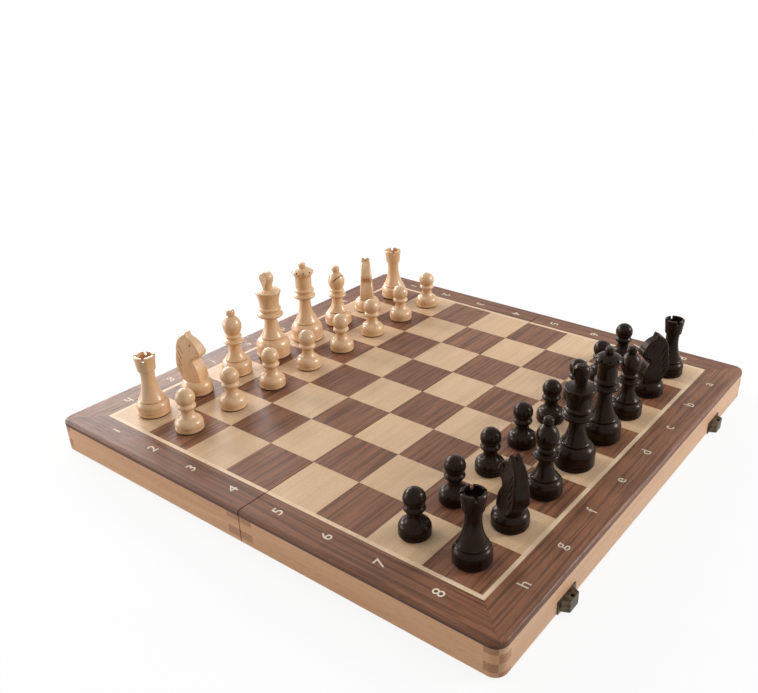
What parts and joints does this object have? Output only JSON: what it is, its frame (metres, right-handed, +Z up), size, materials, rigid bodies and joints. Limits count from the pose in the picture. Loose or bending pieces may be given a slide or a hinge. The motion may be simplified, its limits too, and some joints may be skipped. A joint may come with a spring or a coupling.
{
  "type": "folding chess board",
  "caption": "Folding wooden chess board with finger-jointed half boxes, hinges, hasp latches, coordinates in the border and magnetic men set up for play.",
  "frame": {"origin": "on the table, below the middle of the open board", "axes": "+X from rank 1 to rank 8, +Y from file h to file a, +Z up, the way the playing face looks"},
  "size_m": [0.3962, 0.381, 0.1002],
  "materials": {
    "beech": "satin varnish",
    "plywood": "raw",
    "steel": "plain sheet",
    "walnut": "satin varnish",
    "maple": "satin varnish",
    "felt": "felt",
    "bronze": "antique bronze",
    "boxwood": "gloss varnish",
    "ebonised": "gloss varnish"
  },
  "bodies": {
    "half_a": {"a_front_rail": "beech", "a_back_rail": "beech", "a_hinge_rail": "beech", "a_end_rail": "beech", "a_core_panel": "plywood", "a_steel_sheet": "steel", "a_walnut_border": "walnut", "a_maple_inlay": "maple", "a_walnut_squares": "walnut", "a_felt_lining": "felt", "a_hinge_leaves": "bronze", "a_screws": "bronze", "a_hasp_plates": "bronze"},
    "half_b": {"b_front_rail": "beech", "b_back_rail": "beech", "b_hinge_rail": "beech", "b_end_rail": "beech", "b_core_panel": "plywood", "b_steel_sheet": "steel", "b_walnut_border": "walnut", "b_maple_inlay": "maple", "b_walnut_squares": "walnut", "b_felt_lining": "felt", "b_hinge_leaves": "bronze", "b_screws": "bronze", "b_keepers": "bronze"},
    "hasp_front": {"hasp_lever_front": "bronze"},
    "hasp_back": {"hasp_lever_back": "bronze"},
    "white_rook_a": {"white_rook_a": "boxwood"},
    "white_knight_b": {"white_knight_b": "boxwood"},
    "white_bishop_c": {"white_bishop_c": "boxwood"},
    "white_queen": {"white_queen": "boxwood"},
    "white_king": {"white_king": "boxwood"},
    "white_bishop_f": {"white_bishop_f": "boxwood"},
    "white_knight_g": {"white_knight_g": "boxwood"},
    "white_rook_h": {"white_rook_h": "boxwood"},
    "white_pawn_a": {"white_pawn_a": "boxwood"},
    "white_pawn_b": {"white_pawn_b": "boxwood"},
    "white_pawn_c": {"white_pawn_c": "boxwood"},
    "white_pawn_d": {"white_pawn_d": "boxwood"},
    "white_pawn_e": {"white_pawn_e": "boxwood"},
    "white_pawn_f": {"white_pawn_f": "boxwood"},
    "white_pawn_g": {"white_pawn_g": "boxwood"},
    "white_pawn_h": {"white_pawn_h": "boxwood"},
    "black_rook_a": {"black_rook_a": "ebonised"},
    "black_knight_b": {"black_knight_b": "ebonised"},
    "black_bishop_c": {"black_bishop_c": "ebonised"},
    "black_queen": {"black_queen": "ebonised"},
    "black_king": {"black_king": "ebonised"},
    "black_bishop_f": {"black_bishop_f": "ebonised"},
    "black_knight_g": {"black_knight_g": "ebonised"},
    "black_rook_h": {"black_rook_h": "ebonised"},
    "black_pawn_a": {"black_pawn_a": "ebonised"},
    "black_pawn_b": {"black_pawn_b": "ebonised"},
    "black_pawn_c": {"black_pawn_c": "ebonised"},
    "black_pawn_d": {"black_pawn_d": "ebonised"},
    "black_pawn_e": {"black_pawn_e": "ebonised"},
    "black_pawn_f": {"black_pawn_f": "ebonised"},
    "black_pawn_g": {"black_pawn_g": "ebonised"},
    "black_pawn_h": {"black_pawn_h": "ebonised"}
  },
  "joints": [
    {"name": "board_fold", "type": "hinge", "parent": "half_a", "child": "half_b", "pos_m": [0, 0, 0.00125], "axis": [0, 1, 0], "range_deg": [0, 180]},
    {"name": "hasp_front_swing", "type": "hinge", "parent": "half_a", "child": "hasp_front", "pos_m": [-0.1965, -0.12, 0.00455], "axis": [0, -1, 0], "range_deg": [0, 180]},
    {"name": "hasp_back_swing", "type": "hinge", "parent": "half_a", "child": "hasp_back", "pos_m": [-0.1965, 0.12, 0.00455], "axis": [0, -1, 0], "range_deg": [0, 180]},
    {"name": "lift_white_rook_a", "type": "slide", "parent": "half_a", "child": "white_rook_a", "axis": [0, 0, 1], "range_m": [0, 0.09]},
    {"name": "lift_white_knight_b", "type": "slide", "parent": "half_a", "child": "white_knight_b", "axis": [0, 0, 1], "range_m": [0, 0.09]},
    {"name": "lift_white_bishop_c", "type": "slide", "parent": "half_a", "child": "white_bishop_c", "axis": [0, 0, 1], "range_m": [0, 0.09]},
    {"name": "lift_white_queen", "type": "slide", "parent": "half_a", "child": "white_queen", "axis": [0, 0, 1], "range_m": [0, 0.09]},
    {"name": "lift_white_king", "type": "slide", "parent": "half_a", "child": "white_king", "axis": [0, 0, 1], "range_m": [0, 0.09]},
    {"name": "lift_white_bishop_f", "type": "slide", "parent": "half_a", "child": "white_bishop_f", "axis": [0, 0, 1], "range_m": [0, 0.09]},
    {"name": "lift_white_knight_g", "type": "slide", "parent": "half_a", "child": "white_knight_g", "axis": [0, 0, 1], "range_m": [0, 0.09]},
    {"name": "lift_white_rook_h", "type": "slide", "parent": "half_a", "child": "white_rook_h", "axis": [0, 0, 1], "range_m": [0, 0.09]},
    {"name": "lift_white_pawn_a", "type": "slide", "parent": "half_a", "child": "white_pawn_a", "axis": [0, 0, 1], "range_m": [0, 0.09]},
    {"name": "lift_white_pawn_b", "type": "slide", "parent": "half_a", "child": "white_pawn_b", "axis": [0, 0, 1], "range_m": [0, 0.09]},
    {"name": "lift_white_pawn_c", "type": "slide", "parent": "half_a", "child": "white_pawn_c", "axis": [0, 0, 1], "range_m": [0, 0.09]},
    {"name": "lift_white_pawn_d", "type": "slide", "parent": "half_a", "child": "white_pawn_d", "axis": [0, 0, 1], "range_m": [0, 0.09]},
    {"name": "lift_white_pawn_e", "type": "slide", "parent": "half_a", "child": "white_pawn_e", "axis": [0, 0, 1], "range_m": [0, 0.09]},
    {"name": "lift_white_pawn_f", "type": "slide", "parent": "half_a", "child": "white_pawn_f", "axis": [0, 0, 1], "range_m": [0, 0.09]},
    {"name": "lift_white_pawn_g", "type": "slide", "parent": "half_a", "child": "white_pawn_g", "axis": [0, 0, 1], "range_m": [0, 0.09]},
    {"name": "lift_white_pawn_h", "type": "slide", "parent": "half_a", "child": "white_pawn_h", "axis": [0, 0, 1], "range_m": [0, 0.09]},
    {"name": "lift_black_rook_a", "type": "slide", "parent": "half_b", "child": "black_rook_a", "axis": [0, 0, 1], "range_m": [0, 0.09]},
    {"name": "lift_black_knight_b", "type": "slide", "parent": "half_b", "child": "black_knight_b", "axis": [0, 0, 1], "range_m": [0, 0.09]},
    {"name": "lift_black_bishop_c", "type": "slide", "parent": "half_b", "child": "black_bishop_c", "axis": [0, 0, 1], "range_m": [0, 0.09]},
    {"name": "lift_black_queen", "type": "slide", "parent": "half_b", "child": "black_queen", "axis": [0, 0, 1], "range_m": [0, 0.09]},
    {"name": "lift_black_king", "type": "slide", "parent": "half_b", "child": "black_king", "axis": [0, 0, 1], "range_m": [0, 0.09]},
    {"name": "lift_black_bishop_f", "type": "slide", "parent": "half_b", "child": "black_bishop_f", "axis": [0, 0, 1], "range_m": [0, 0.09]},
    {"name": "lift_black_knight_g", "type": "slide", "parent": "half_b", "child": "black_knight_g", "axis": [0, 0, 1], "range_m": [0, 0.09]},
    {"name": "lift_black_rook_h", "type": "slide", "parent": "half_b", "child": "black_rook_h", "axis": [0, 0, 1], "range_m": [0, 0.09]},
    {"name": "lift_black_pawn_a", "type": "slide", "parent": "half_b", "child": "black_pawn_a", "axis": [0, 0, 1], "range_m": [0, 0.09]},
    {"name": "lift_black_pawn_b", "type": "slide", "parent": "half_b", "child": "black_pawn_b", "axis": [0, 0, 1], "range_m": [0, 0.09]},
    {"name": "lift_black_pawn_c", "type": "slide", "parent": "half_b", "child": "black_pawn_c", "axis": [0, 0, 1], "range_m": [0, 0.09]},
    {"name": "lift_black_pawn_d", "type": "slide", "parent": "half_b", "child": "black_pawn_d", "axis": [0, 0, 1], "range_m": [0, 0.09]},
    {"name": "lift_black_pawn_e", "type": "slide", "parent": "half_b", "child": "black_pawn_e", "axis": [0, 0, 1], "range_m": [0, 0.09]},
    {"name": "lift_black_pawn_f", "type": "slide", "parent": "half_b", "child": "black_pawn_f", "axis": [0, 0, 1], "range_m": [0, 0.09]},
    {"name": "lift_black_pawn_g", "type": "slide", "parent": "half_b", "child": "black_pawn_g", "axis": [0, 0, 1], "range_m": [0, 0.09]},
    {"name": "lift_black_pawn_h", "type": "slide", "parent": "half_b", "child": "black_pawn_h", "axis": [0, 0, 1], "range_m": [0, 0.09]}
  ]
}
